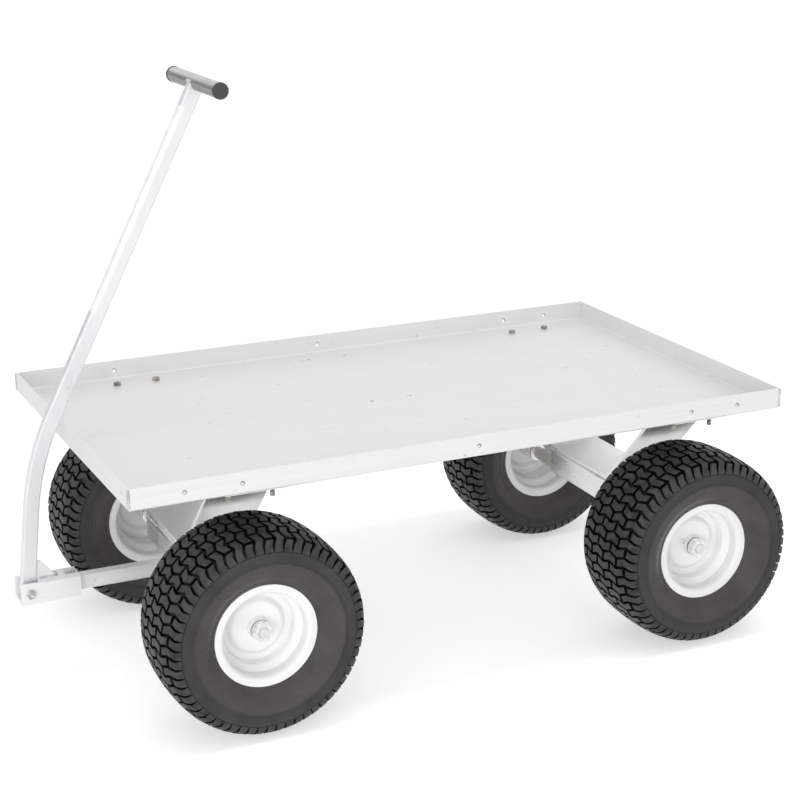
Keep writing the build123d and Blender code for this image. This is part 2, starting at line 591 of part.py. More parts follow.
NODES = {
    "deck_tray": deck_tray(),
    "front_bracket": front_bracket(),
    "rear_bracket": rear_bracket(),
    "deck_bolts": deck_bolts(),
    "deck_washers": deck_washers(),
    "deck_nuts": deck_nuts(),
    "rear_axle_beam": axle_beam(REAR_X),
    "rear_axle_rod": axle_rod(REAR_X),
    "rear_hub_washers": hub_washers(REAR_X),
    "rear_hub_nuts": hub_nuts(REAR_X),
    "kingpin_bolt": kingpin_bolt(),
    "kingpin_washer": kingpin_washer(),
    "kingpin_nut": kingpin_nut(),
    "thrust_plate": thrust_plate(),
    "front_axle_beam": front_axle_beam(),
    "kingpin_bush": kingpin_bush(),
    "front_axle_rod": axle_rod(FRONT_X),
    "front_hub_washers": hub_washers(FRONT_X),
    "front_hub_nuts": hub_nuts(FRONT_X),
    "tongue": tongue(),
    "clevis": clevis(),
    "handle_stop": handle_stop(),
    "pivot_bolt": pivot_bolt(),
    "pivot_washer": pivot_washer(),
    "pivot_nut": pivot_nut(),
    "pivot_spacers": pivot_spacers(),
    "handle_tube": handle_tube(),
    "grip_tube": grip_tube(),
    "grip_caps": grip_caps(),
}
TYRE = tyre()
NODES.update(wheel("front_left", FRONT_X, -1, 242))
NODES.update(wheel("front_right", FRONT_X, 1, 75))
NODES.update(wheel("rear_left", REAR_X, -1, 25))
NODES.update(wheel("rear_right", REAR_X, 1, 200))

os.makedirs("parts", exist_ok=True)
for node, shape in NODES.items():
    solids = shape if isinstance(shape, list) else [shape]
    export_step(Compound(children=solids), "parts/" + node + ".step")
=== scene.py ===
import math

import bpy
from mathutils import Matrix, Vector


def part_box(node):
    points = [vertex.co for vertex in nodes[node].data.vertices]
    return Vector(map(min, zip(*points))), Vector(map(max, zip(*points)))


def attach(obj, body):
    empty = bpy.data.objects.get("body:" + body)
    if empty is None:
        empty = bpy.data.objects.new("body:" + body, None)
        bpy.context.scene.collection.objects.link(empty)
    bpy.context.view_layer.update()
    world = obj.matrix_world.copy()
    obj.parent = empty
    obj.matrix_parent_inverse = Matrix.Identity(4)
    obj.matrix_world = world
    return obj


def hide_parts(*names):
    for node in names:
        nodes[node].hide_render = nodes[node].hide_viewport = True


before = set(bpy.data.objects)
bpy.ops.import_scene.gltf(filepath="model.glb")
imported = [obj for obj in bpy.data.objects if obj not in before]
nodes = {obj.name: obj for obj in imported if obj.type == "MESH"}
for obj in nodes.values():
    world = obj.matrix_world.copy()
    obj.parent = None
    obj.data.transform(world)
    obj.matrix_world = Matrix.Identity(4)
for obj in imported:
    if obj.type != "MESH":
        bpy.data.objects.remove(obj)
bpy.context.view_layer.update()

# The camera stands to the left of the pull handle, a little above the deck, and looks along the
# wagon through a long lens. It sees the front, the near side and into the tray.
camera = bpy.data.objects.new("camera", bpy.data.cameras.new("camera"))
camera.data.lens = 83.68
camera.location = (-1.31834, -2.97849, 1.44519)
camera.rotation_euler = [math.radians(a) for a in (72.7266, 0.4001, -24.9134)]
bpy.context.scene.collection.objects.link(camera)
bpy.context.scene.camera = camera
bpy.context.scene.view_settings.view_transform = "Standard"

# The studio floor is white paper. It keeps the wagon's soft shadow for the camera, and bright metal
# sees it as plain white.
bpy.ops.object.select_all(action="DESELECT")
bpy.ops.mesh.primitive_plane_add(size=40, location=(0, 0, 0))
floor = bpy.context.object
floor.name = "floor"


def new_finish(name):
    """A new material, with its node tree and its shader."""
    material = bpy.data.materials.new(name)
    material.use_nodes = True
    return material, material.node_tree, material.node_tree.nodes["Principled BSDF"]


def reckon(tree, operation, first, second=0.0):
    """One step of arithmetic on a value, with a number or with another value."""
    node = tree.nodes.new("ShaderNodeMath")
    node.operation = operation
    for socket, value in zip(node.inputs, (first, second)):
        if isinstance(value, float):
            socket.default_value = value
        else:
            tree.links.new(value, socket)
    return node.outputs["Value"]


paper, tree, shader = new_finish("white_paper")
shader.inputs["Base Color"].default_value = (0.93, 0.93, 0.93, 1)
shader.inputs["Roughness"].default_value = 0.9
shader.inputs["Specular IOR Level"].default_value = 0.1
shader.inputs["Emission Color"].default_value = (1, 1, 1, 1)
light_path = tree.nodes.new("ShaderNodeLightPath")
glow = tree.nodes.new("ShaderNodeEmission")
mirrored = tree.nodes.new("ShaderNodeMixShader")
lift = reckon(tree, "MULTIPLY", light_path.outputs["Is Camera Ray"], 0.48)
tree.links.new(lift, shader.inputs["Emission Strength"])
tree.links.new(light_path.outputs["Is Glossy Ray"], mirrored.inputs["Fac"])
tree.links.new(shader.outputs["BSDF"], mirrored.inputs[1])
tree.links.new(glow.outputs["Emission"], mirrored.inputs[2])
tree.links.new(mirrored.outputs["Shader"], tree.nodes["Material Output"].inputs["Surface"])
floor.data.materials.append(paper)

# The room is white too, with a dim grey wall behind the handle that only shows as a soft shade in
# bright metal. A long lamp hangs overhead, and a wide one beside the camera lights the near side. Both
# are kept out of reflections, so that no pale sheet burns out from any side.
room = bpy.data.worlds.new("white_room")
bpy.context.scene.world = room
room.use_nodes = True
tree = room.node_tree
tree.nodes.clear()


def remap(tree, value, low, high, first, last):
    """Stretch a value from one span to another, held at both ends."""
    node = tree.nodes.new("ShaderNodeMapRange")
    for socket, limit in zip(("From Min", "From Max", "To Min", "To Max"), (low, high, first, last)):
        node.inputs[socket].default_value = limit
    tree.links.new(value, node.inputs["Value"])
    return node.outputs["Result"]


def background(strength):
    """Plain white light from all sides."""
    node = tree.nodes.new("ShaderNodeBackground")
    node.inputs["Color"].default_value = (1, 1, 1, 1)
    node.inputs["Strength"].default_value = strength
    return node


direction = tree.nodes.new("ShaderNodeTexCoord")
facing = tree.nodes.new("ShaderNodeVectorMath")
facing.operation = "DOT_PRODUCT"
facing.inputs[1].default_value = (-0.36, 0.93, 0.04)
light_path = tree.nodes.new("ShaderNodeLightPath")
seen = reckon(tree, "MAXIMUM", light_path.outputs["Is Glossy Ray"], light_path.outputs["Is Transmission Ray"])
white, walls, ambient = background(1.0), background(1.0), background(0.58)
shiny = tree.nodes.new("ShaderNodeMixShader")
shown = tree.nodes.new("ShaderNodeMixShader")
output = tree.nodes.new("ShaderNodeOutputWorld")
tree.links.new(direction.outputs["Generated"], facing.inputs[0])
tree.links.new(remap(tree, facing.outputs["Value"], 0.945, 0.985, 1.0, 0.40), walls.inputs["Strength"])
tree.links.new(seen, shiny.inputs["Fac"])
tree.links.new(ambient.outputs["Background"], shiny.inputs[1])
tree.links.new(walls.outputs["Background"], shiny.inputs[2])
tree.links.new(light_path.outputs["Is Camera Ray"], shown.inputs["Fac"])
tree.links.new(shiny.outputs["Shader"], shown.inputs[1])
tree.links.new(white.outputs["Background"], shown.inputs[2])
tree.links.new(shown.outputs["Shader"], output.inputs["Surface"])
for name, size, watts, place, turn in (
        ("overhead_lamp", (4.0, 0.5), 34, (0.6, -0.4, 3.4), (0, 0, 0)),
        ("camera_side_lamp", (5.4, 1.7), 118, (-2.5, -3.75, 0.95), (88, 0, -33))):
    lamp = bpy.data.objects.new(name, bpy.data.lights.new(name, "AREA"))
    lamp.data.shape = "RECTANGLE"
    lamp.data.size, lamp.data.size_y = size
    lamp.data.energy = watts
    lamp.location = place
    lamp.rotation_euler = [math.radians(a) for a in turn]
    lamp.visible_glossy = False
    bpy.context.scene.collection.objects.link(lamp)

# The deck tray is one aluminium sheet, folded up on four sides and left as it came from the mill:
# fine rolling streaks along its length, a cloudy sheen and a few scuffs from loading.


def noise(tree, scale, detail, vector=None):
    """Noise over a piece's own place, or over a vector that stretches it."""
    node = tree.nodes.new("ShaderNodeTexNoise")
    node.inputs["Scale"].default_value = scale
    node.inputs["Detail"].default_value = detail
    tree.links.new(vector or tree.nodes.new("ShaderNodeTexCoord").outputs["Object"], node.inputs["Vector"])
    return node.outputs["Fac"]


def tint(tree, value, low, dark, high, light):
    """Blend from a dark to a light colour between two levels of a value."""
    node = tree.nodes.new("ShaderNodeValToRGB")
    for stop, place, colour in zip(node.color_ramp.elements, (low, high), (dark, light)):
        stop.position = place
        stop.color = (*colour, 1)
    tree.links.new(value, node.inputs["Fac"])
    return node.outputs["Color"]


def bumps(tree, height, strength, distance):
    """Fine relief from a value."""
    node = tree.nodes.new("ShaderNodeBump")
    node.inputs["Strength"].default_value = strength
    node.inputs["Distance"].default_value = distance
    tree.links.new(height, node.inputs["Height"])
    return node.outputs["Normal"]


grain = bpy.data.node_groups.new("mill_grain", "ShaderNodeTree")
for socket in ("Along", "Place"):
    grain.interface.new_socket(socket, in_out="INPUT", socket_type="NodeSocketVector")
for socket in ("Tone", "Scuff"):
    grain.interface.new_socket(socket, in_out="OUTPUT", socket_type="NodeSocketFloat")
entry = grain.nodes.new("NodeGroupInput")
leave = grain.nodes.new("NodeGroupOutput")
both = grain.nodes.new("ShaderNodeMix")
both.inputs[0].default_value = 0.42
grain.links.new(noise(grain, 1.0, 7, entry.outputs["Along"]), both.inputs[2])
grain.links.new(noise(grain, 7.0, 4, entry.outputs["Place"]), both.inputs[3])
grain.links.new(both.outputs[0], leave.inputs["Tone"])
marks = noise(grain, 55.0, 5, entry.outputs["Place"])
grain.links.new(remap(grain, marks, 0.69, 0.76, 0.0, 1.0), leave.inputs["Scuff"])


def smear(tree, mask, colour):
    """Lay a colour over a material's own where a mask says."""
    own = tree.nodes["Principled BSDF"].inputs["Base Color"]
    node = tree.nodes.new("ShaderNodeMix")
    node.data_type = "RGBA"
    node.inputs[7].default_value = (*colour, 1)
    tree.links.new(mask, node.inputs[0])
    tree.links.new(own.links[0].from_socket, node.inputs[6])
    tree.links.new(node.outputs[2], own)


def mill_aluminium(name, stretch, dark, light, rough, scuff, metallic=0.75, lean=0):
    """Bare aluminium with its streaks stretched one way, and dull scuffs of the given tone."""
    metal, tree, shader = new_finish(name)
    shader.inputs["Metallic"].default_value = metallic
    place = tree.nodes.new("ShaderNodeTexCoord")
    along = tree.nodes.new("ShaderNodeMapping")
    along.inputs["Scale"].default_value = stretch
    along.inputs["Rotation"].default_value = (0, math.radians(lean), 0)
    group = tree.nodes.new("ShaderNodeGroup")
    group.node_tree = grain
    tree.links.new(place.outputs["Object"], along.inputs["Vector"])
    tree.links.new(along.outputs["Vector"], group.inputs["Along"])
    tree.links.new(place.outputs["Object"], group.inputs["Place"])
    tone = group.outputs["Tone"]
    tree.links.new(tint(tree, tone, 0.36, dark, 0.64, light), shader.inputs["Base Color"])
    smear(tree, group.outputs["Scuff"], (scuff, scuff, scuff * 1.01))
    tree.links.new(remap(tree, tone, 0.35, 0.65, *rough), shader.inputs["Roughness"])
    tree.links.new(bumps(tree, tone, 0.05, 0.0006), shader.inputs["Normal"])
    return metal


def coat(material, *names):
    """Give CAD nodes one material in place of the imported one."""
    for name in names:
        nodes[name].data.materials.clear()
        nodes[name].data.materials.append(material)


tray_metal = mill_aluminium("tray_sheet", (2.2, 120, 120), (0.81, 0.805, 0.81), (0.85, 0.845, 0.85),
                            rough=(0.36, 0.48), scuff=0.62, metallic=0.50)
coat(tray_metal, "deck_tray")

# Painted shade darkens a small ring round each hole in both long lips, where the bore's wall lies in shade: a
# pair at each end and one in the middle.
low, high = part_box("deck_tray")
pair_reach, pair_half, hole_r = 0.46935, 0.04825, 0.0035
tree = tray_metal.node_tree
place = tree.nodes.new("ShaderNodeSeparateXYZ")
tree.links.new(tree.nodes.new("ShaderNodeTexCoord").outputs["Object"], place.inputs["Vector"])
along = reckon(tree, "ABSOLUTE", reckon(tree, "SUBTRACT", place.outputs["X"], (low.x + high.x) / 2))
from_pair = reckon(tree, "ABSOLUTE", reckon(tree, "SUBTRACT", along, pair_reach))
from_hole = reckon(tree, "ABSOLUTE", reckon(tree, "SUBTRACT", from_pair, pair_half))
across = reckon(tree, "MINIMUM", along, from_hole)
above = reckon(tree, "SUBTRACT", place.outputs["Z"], (low.z + high.z) / 2)
square = reckon(tree, "ADD", reckon(tree, "MULTIPLY", across, across),
                reckon(tree, "MULTIPLY", above, above))
# Painted shade: a dark ring just outside each hole's edge.
hole_shade = remap(tree, reckon(tree, "SQRT", square), hole_r * 1.03, hole_r * 1.25, 1.0, 0.0)
smear(tree, hole_shade, (0.24, 0.24, 0.235))

# The four corners of the tray are closed with a short upright weld, left as it was laid.
# Weld metal is aluminium too: overlapping ripples, bright on their crowns and dull between.
weld_metal = mill_aluminium("weld_bead", (60, 60, 60), (0.42, 0.42, 0.43), (0.84, 0.84, 0.85),
                            rough=(0.22, 0.5), scuff=0.42)


def join(pieces):
    """Join pieces into the first, and put its place into its mesh."""
    bpy.ops.object.select_all(action="DESELECT")
    for piece in pieces:
        piece.select_set(True)
    bpy.context.view_layer.objects.active = pieces[0]
    bpy.ops.object.join()
    bpy.ops.object.transform_apply(location=True, rotation=True, scale=True)
    return bpy.context.object


def weld(name, body, runs, width, height, step):
    """A welded seam along one or more straight runs: a row of flat overlapping ripples."""
    beads = []
    for first, last in runs:
        first, last = Vector(first), Vector(last)
        count = max(2, round((last - first).length / step))
        lean = (last - first).to_track_quat("X", "Z").to_euler()
        for k in range(count):
            wobble = math.sin(k * 2.4 + first.x * 90) * 0.12
            spot = first.lerp(last, (k + 0.5) / count)
            bpy.ops.object.select_all(action="DESELECT")
            bpy.ops.mesh.primitive_uv_sphere_add(segments=8, ring_count=5, radius=1,
                                                 location=spot, rotation=lean)
            bead = bpy.context.object
            bead.scale = (step * (0.80 + wobble), width / 2 * (1 + wobble), height * (1 - wobble))
            beads.append(bead)
    seam = join(beads)
    seam.name = name
    fused = seam.modifiers.new("fused", "REMESH")
    fused.mode = "VOXEL"
    fused.voxel_size = step * 0.2
    bpy.ops.object.modifier_apply(modifier="fused")
    bpy.ops.object.shade_smooth()
    seam.data.materials.append(weld_metal)
    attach(seam, body)


low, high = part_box("deck_tray")
corners = [(x, y) for x in (low.x + 0.0008, high.x - 0.0008) for y in (low.y + 0.0008, high.y - 0.0008)]
weld("tray_corner_welds", "chassis",
     [((x, y, low.z + 0.005), (x, y, high.z - 0.0015)) for x, y in corners],
     width=0.0075, height=0.0030, step=0.0040)

# Each bracket is a flat aluminium bar bent into a trough, bolted up under the tray.
# The bar keeps its rolling streaks along its length, across the wagon.
# The bar's pale tone is painted light, lifting the shade under the tray.
bracket_metal = mill_aluminium("bracket_bar", (110, 3, 20), (0.91, 0.91, 0.915), (0.96, 0.96, 0.965),
                               rough=(0.34, 0.46), scuff=0.74, metallic=0.90)
coat(bracket_metal, "front_bracket", "rear_bracket")

# Bolts, washers and nuts are plated steel, mottled where the plating has dulled: bright zinc on the
# axles, a greyer zinc at the handle's pivot, and an older yellowed zinc on the deck bolts.


def zinc_plate(name, dark, light):
    """Zinc plating between two tones."""
    plate, tree, shader = new_finish(name)
    shader.inputs["Metallic"].default_value = 1.0
    patch = noise(tree, 160, 4)
    tree.links.new(tint(tree, patch, 0.36, dark, 0.62, light), shader.inputs["Base Color"])
    tree.links.new(remap(tree, patch, 0.35, 0.65, 0.38, 0.22), shader.inputs["Roughness"])
    return plate


bright_zinc = zinc_plate("bright_zinc", (0.80, 0.80, 0.795), (0.97, 0.97, 0.965))
coat(bright_zinc, "kingpin_bolt", "kingpin_washer", "kingpin_nut", "rear_hub_washers", "front_hub_washers",
     "rear_hub_nuts", "front_hub_nuts")
grey_zinc = zinc_plate("grey_zinc", (0.40, 0.40, 0.39), (0.76, 0.755, 0.74))
coat(grey_zinc, "pivot_bolt", "pivot_washer", "pivot_nut", "pivot_spacers")
old_zinc = zinc_plate("yellowed_zinc", (0.17, 0.155, 0.13), (0.50, 0.47, 0.41))
coat(old_zinc, "deck_bolts", "deck_washers", "deck_nuts")

# The axle beams are bright rectangular aluminium tubes lying across the wagon. Ragged welds run
# along the rear beam's upper edges, under the bracket, and in patches on the front beam's.
beam_metal = mill_aluminium("beam_tube", (90, 4, 90), (0.80, 0.80, 0.805), (0.92, 0.92, 0.925),
                            rough=(0.18, 0.36), scuff=0.58)
coat(beam_metal, "front_axle_beam", "rear_axle_beam")
low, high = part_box("rear_axle_beam")
edge_z = high.z - 0.0012
weld("rear_beam_welds", "chassis",
     [((x, low.y + 0.004, edge_z), (x, high.y - 0.004, edge_z)) for x in (low.x + 0.0012, high.x - 0.0012)],
     width=0.0060, height=0.0036, step=0.0044)
low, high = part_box("front_axle_beam")
edge_z = high.z - 0.0015
weld("front_beam_welds", "front_axle",
     [((x, first, edge_z), (x, last, edge_z)) for x in (low.x + 0.0012, high.x - 0.0012)
      for first, last in ((0.045, 0.102), (-0.102, -0.060))], width=0.0080, height=0.0040, step=0.0048)

# The axle rods are turned steel bars, bright where the wheels run. Short welds at each end of the
# beam hold them to its underside.
rod_metal, tree, shader = new_finish("axle_bar")
shader.inputs["Metallic"].default_value = 1.0
place = tree.nodes.new("ShaderNodeTexCoord")
lathe = tree.nodes.new("ShaderNodeMapping")
lathe.inputs["Scale"].default_value = (8, 900, 8)
tree.links.new(place.outputs["Object"], lathe.inputs["Vector"])
turned = noise(tree, 1.0, 3, lathe.outputs["Vector"])
steel = tint(tree, turned, 0.0, (0.72, 0.705, 0.68), 1.0, (0.92, 0.91, 0.885))
tree.links.new(steel, shader.inputs["Base Color"])
tree.links.new(remap(tree, turned, 0.3, 0.7, 0.28, 0.45), shader.inputs["Roughness"])
coat(rod_metal, "front_axle_rod", "rear_axle_rod")
run_length = 0.060
for end, body in (("front", "front_axle"), ("rear", "chassis")):
    low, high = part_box(end + "_axle_beam")
    axle_x = (low.x + high.x) / 2
    seam_z = low.z - 0.0006
    weld(end + "_rod_welds", body,
         [((x, y, seam_z), (x, y + run_length, seam_z)) for x in (axle_x - 0.0085, axle_x + 0.0085)
          for y in (low.y + 0.003, high.y - 0.003 - run_length)], width=0.0055, height=0.0022, step=0.0042)

# The front axle turns on a round plate of pale slippery plastic and on bronze bushes.
# The wheels run on the same bronze, soaked in oil and speckled with pores.
plastic, tree, shader = new_finish("thrust_plate_plastic")
shader.inputs["Roughness"].default_value = 0.45
speck = noise(tree, 120, 2)
pale = tint(tree, speck, 0.0, (0.66, 0.65, 0.61), 1.0, (0.80, 0.79, 0.76))
tree.links.new(pale, shader.inputs["Base Color"])
coat(plastic, "thrust_plate")
bronze, tree, shader = new_finish("oily_bronze")
shader.inputs["Metallic"].default_value = 0.9
pores = noise(tree, 420, 3)
oiled = tint(tree, pores, 0.0, (0.10, 0.08, 0.055), 1.0, (0.28, 0.23, 0.16))
tree.links.new(oiled, shader.inputs["Base Color"])
tree.links.new(remap(tree, pores, 0.3, 0.7, 0.55, 0.3), shader.inputs["Roughness"])
wheel_names = ("front_left", "front_right", "rear_left", "rear_right")
coat(bronze, "kingpin_bush", *["hub_bushings_" + name for name in wheel_names])

# The tongue is a small aluminium tube. Its front end sits in a thick-walled clevis, held by plug
# welds through the top, with a small gusset behind the handle.
tongue_metal = mill_aluminium("tongue_tube", (4, 110, 110), (0.89, 0.89, 0.90), (0.95, 0.95, 0.96),
                              rough=(0.34, 0.50), scuff=0.80, metallic=0.40)
coat(tongue_metal, "tongue", "clevis", "handle_stop")
low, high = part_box("clevis")
stop_low, stop_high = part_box("handle_stop")
tongue_low, tongue_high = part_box("tongue")
beam_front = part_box("front_axle_beam")[0].x
foot = stop_high.y + 0.0012
top_z = high.z + 0.0004
weld("stop_welds", "front_axle",
     [((stop_low.x + 0.006, s * foot, top_z), (stop_high.x, s * foot, top_z)) for s in (-1, 1)]
     + [((stop_high.x + 0.001, -0.004, top_z), (stop_high.x + 0.001, 0.010, top_z))],
     width=0.0048, height=0.0022, step=0.0034)
weld("clevis_plug_welds", "front_axle",
     [((high.x - 0.024, y, high.z), (high.x - 0.003, y + 0.001, high.z)) for y in (-0.003, 0.004, 0.010)],
     width=0.0080, height=0.0028, step=0.0050)
wall = tongue_high.y + 0.001
mouth = high.x + 0.0012
shelf = tongue_high.z - 0.001
runs = [((mouth, y, tongue_low.z + 0.002), (mouth, y, shelf)) for y in (-wall, wall)]
runs += [((beam_front + 0.006, y, shelf), (beam_front + 0.040, y, shelf)) for y in (-wall, wall)]
nose, crest = beam_front - 0.001, tongue_high.z + 0.001
runs += [((nose, -0.0085, crest), (nose, 0.0085, crest))]
weld("tongue_welds", "front_axle", runs, width=0.0050, height=0.0024, step=0.0036)

# The pull handle is a bent aluminium tube with a round cross grip welded on its top end.
# Its streaks run up the tube, and those of the darker, handled grip run along it. Painted shade darkens the
# grip's lower front.
handle_metal = mill_aluminium("handle_tube", (110, 110, 3), (0.79, 0.795, 0.81), (0.85, 0.855, 0.87),
                              rough=(0.28, 0.40), scuff=0.56, metallic=0.50, lean=-24)
coat(handle_metal, "handle_tube")
grip_metal = mill_aluminium("grip_tube", (90, 3, 90), (0.36, 0.355, 0.35), (0.62, 0.61, 0.60),
                            rough=(0.20, 0.34), scuff=0.30)
coat(grip_metal, "grip_tube")
low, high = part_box("grip_tube")
grip = Vector(((low.x + high.x) / 2, 0, (low.z + high.z) / 2))
tree = grip_metal.node_tree
# Painted shade: the grip's lower front is darkened, standing in for the dim room it reflects.
from_middle = tree.nodes.new("ShaderNodeVectorMath")
from_middle.operation = "SUBTRACT"
from_middle.inputs[1].default_value = grip
tree.links.new(tree.nodes.new("ShaderNodeTexCoord").outputs["Object"], from_middle.inputs[0])
underside_shade = tree.nodes.new("ShaderNodeVectorMath")
underside_shade.operation = "DOT_PRODUCT"
underside_shade.inputs[1].default_value = (-0.75, 0, -0.66)
tree.links.new(from_middle.outputs["Vector"], underside_shade.inputs[0])
smear(tree, remap(tree, underside_shade.outputs["Value"], 0.002, 0.012, 0.0, 0.85), (0.14, 0.135, 0.13))
lean = math.radians(27.1)
up = Vector((math.sin(lean), 0, math.cos(lean)))
front = Vector((-math.cos(lean), 0, math.sin(lean)))
edge_drop, edge_out, edge_half = 0.0098, 0.0100, 0.0095
seat_drop, seat_out, seat_half = 0.0030, 0.0134, 0.0080
runs = []
for s in (-1, 1):
    edge = grip - up * edge_drop + Vector((0, s * edge_out, 0))
    runs.append((edge + front * edge_half, edge - front * edge_half))
    seat = grip - up * seat_drop + front * s * seat_out
    runs.append((seat - Vector((0, seat_half, 0)), seat + Vector((0, seat_half, 0))))
weld("grip_welds", "handle", runs, width=0.0078, height=0.0034, step=0.0046)

# Black plastic plugs close the two ends of the grip. They are moulded with a fine pebble and pushed
# into the tube.
black, tree, shader = new_finish("black_plug_plastic")
shader.inputs["Roughness"].default_value = 0.5
pebble = noise(tree, 900, 2)
mould = tint(tree, pebble, 0.0, (0.034, 0.034, 0.036), 1.0, (0.064, 0.064, 0.067))
tree.links.new(mould, shader.inputs["Base Color"])
tree.links.new(bumps(tree, pebble, 0.2, 0.0003), shader.inputs["Normal"])
coat(black, "grip_caps")

# A plain white sticker runs up the front of the handle tube and folds over its near corner.
# It is blank, and a little soiled where hands have brushed it.


def trace(name, points):
    """Draw a line through points by extruding one vertex, and leave it open in edit mode."""
    bpy.ops.object.select_all(action="DESELECT")
    bpy.ops.mesh.primitive_plane_add(size=0.001, location=points[0])
    bpy.context.object.name = name
    bpy.ops.object.mode_set(mode="EDIT")
    bpy.ops.mesh.merge(type="CENTER")
    for here, there in zip(points, points[1:]):
        step = [b - a for a, b in zip(here, there)]
        bpy.ops.mesh.extrude_region_move(TRANSFORM_OT_translate={"value": step})
    return bpy.context.object


sticker_length = 0.376
below_grip = 0.047
foot = grip - up * (below_grip + sticker_length)
corner_front, corner_side, corner_r = 0.0102, -0.007025, 0.00258
far_edge, lap_edge = 0.0068, 0.0052
bend = [(corner_front + corner_r * math.cos(a), corner_side - corner_r * math.sin(a))
        for a in [math.radians(d) for d in (0, 22.5, 45, 67.5, 90)]]
outline = [(bend[0][0], far_edge)] + bend + [(lap_edge, bend[-1][1])]
sticker = trace("blank_sticker", [foot + front * f + Vector((0, y, 0)) for f, y in outline])
bpy.ops.mesh.select_all(action="SELECT")
bpy.ops.mesh.extrude_region_move(TRANSFORM_OT_translate={"value": up * sticker_length})
bpy.ops.object.mode_set(mode="OBJECT")
bpy.ops.object.transform_apply(location=True, rotation=True, scale=True)
film = sticker.modifiers.new("film", "SOLIDIFY")
film.thickness = 0.0002
film.offset = 0
bpy.ops.object.modifier_apply(modifier="film")
bpy.ops.object.shade_smooth_by_angle(angle=math.radians(40))
vinyl, tree, shader = new_finish("white_vinyl")
soil = noise(tree, 45, 6)
soiled = tint(tree, soil, 0.3, (0.80, 0.795, 0.78), 0.55, (0.92, 0.92, 0.915))
tree.links.new(soiled, shader.inputs["Base Color"])
tree.links.new(remap(tree, soil, 0.3, 0.7, 0.55, 0.35), shader.inputs["Roughness"])
sticker.data.materials.append(vinyl)
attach(sticker, "handle")

# The tyres are black moulded rubber: a wide round casing with a raised ring on each side wall that
# dishes in to the rim, and a turf tread. Rows of chevron blocks are parted by zigzag grooves across
# the crown, and the lugs at each row's ends wrap down over the shoulders and fade out.
rubber, tree, shader = new_finish("tyre_rubber")
shader.inputs["Specular IOR Level"].default_value = 0.24


def attribute(name):
    """A value kept on a mesh's points."""
    node = tree.nodes.new("ShaderNodeAttribute")
    node.attribute_name = name
    return node.outputs["Fac"]


def blend(share, first, last):
    """Mix two colours."""
    node = tree.nodes.new("ShaderNodeMix")
    node.data_type = "RGBA"
    for socket, link in zip((0, 6, 7), (share, first, last)):
        tree.links.new(link, node.inputs[socket])
    return node.outputs[2]


bloom = noise(tree, 22, 6)
# The side wall inside the raised ring is lighter than the shoulder: partly dust, partly painted light, as the
# flat wall faces the lamps.
wall = tint(tree, bloom, 0.3, (0.052, 0.0495, 0.0465), 0.72, (0.076, 0.0725, 0.0685))
shoulder = tint(tree, bloom, 0.3, (0.033, 0.0322, 0.031), 0.72, (0.052, 0.051, 0.049))
# Painted shade: the walls and floors of the tread's grooves are near black, fading in above the tread's foot;
# the block tops are greyer with wear.
groove_painted_shade = tint(tree, bloom, 0.3, (0.002, 0.002, 0.002), 0.72, (0.004, 0.004, 0.004))
block_top = tint(tree, noise(tree, 70, 6), 0.32, (0.024, 0.024, 0.024), 0.70, (0.060, 0.059, 0.056))
dish, ring, tread_foot = (0.094, 0.122), (0.1300, 0.1325), (0.1500, 0.1540)
side = blend(remap(tree, attribute("from_axle"), *ring, 1.0, 0.0), shoulder, wall)
with_groove_shade = blend(remap(tree, attribute("from_axle"), *tread_foot, 0.0, 1.0), side, groove_painted_shade)
tread_tone = blend(remap(tree, attribute("block_top"), 0.9, 1.0, 0.0, 1.0), with_groove_shade, block_top)
tree.links.new(tread_tone, shader.inputs["Base Color"])
dull = remap(tree, bloom, 0.3, 0.7, 0.38, 0.52)
shine = remap(tree, attribute("from_axle"), *dish, 0.20, 0.0)
tree.links.new(reckon(tree, "SUBTRACT", dull, shine), shader.inputs["Roughness"])
tree.links.new(bumps(tree, noise(tree, 700, 3), 0.12, 0.0004), shader.inputs["Normal"])

tyre_r = 0.179
tread_floor = [(0.1715, 0.0000), (0.1707, 0.0300), (0.1692, 0.0480), (0.1668, 0.0600), (0.1632, 0.0680),
               (0.1595, 0.0738), (0.1562, 0.0785), (0.1538, 0.0820), (0.1520, 0.0845)]
side_wall = [(0.1482, 0.0851), (0.1440, 0.0856), (0.1390, 0.0858), (0.1344, 0.0855), (0.1336, 0.0860),
             (0.1328, 0.0872), (0.1312, 0.0873), (0.1302, 0.0856), (0.1292, 0.0847), (0.1200, 0.0824),
             (0.1120, 0.0787), (0.1050, 0.0738), (0.0990, 0.0686), (0.0945, 0.0654), (0.0915, 0.0640),
             (0.0904, 0.0636), (0.0898, 0.0622)]
bead = [(0.0890, 0.0612), (0.0790, 0.0612), (0.0766, 0.0590), (0.0766, 0.0000)]
half = tread_floor + side_wall + bead
casing = trace("casing", [(r, -y, 0) for r, y in reversed(half)] + [(r, y, 0) for r, y in half[1:]])
bpy.ops.mesh.select_all(action="SELECT")
bpy.ops.mesh.spin(steps=120, angle=2 * math.pi, center=(0, 0, 0), axis=(0, 1, 0))
bpy.ops.mesh.select_all(action="SELECT")
bpy.ops.mesh.remove_doubles(threshold=0.00002)
bpy.ops.mesh.normals_make_consistent(inside=False)
bpy.ops.object.mode_set(mode="OBJECT")
bpy.ops.object.transform_apply(location=True, rotation=True, scale=True)

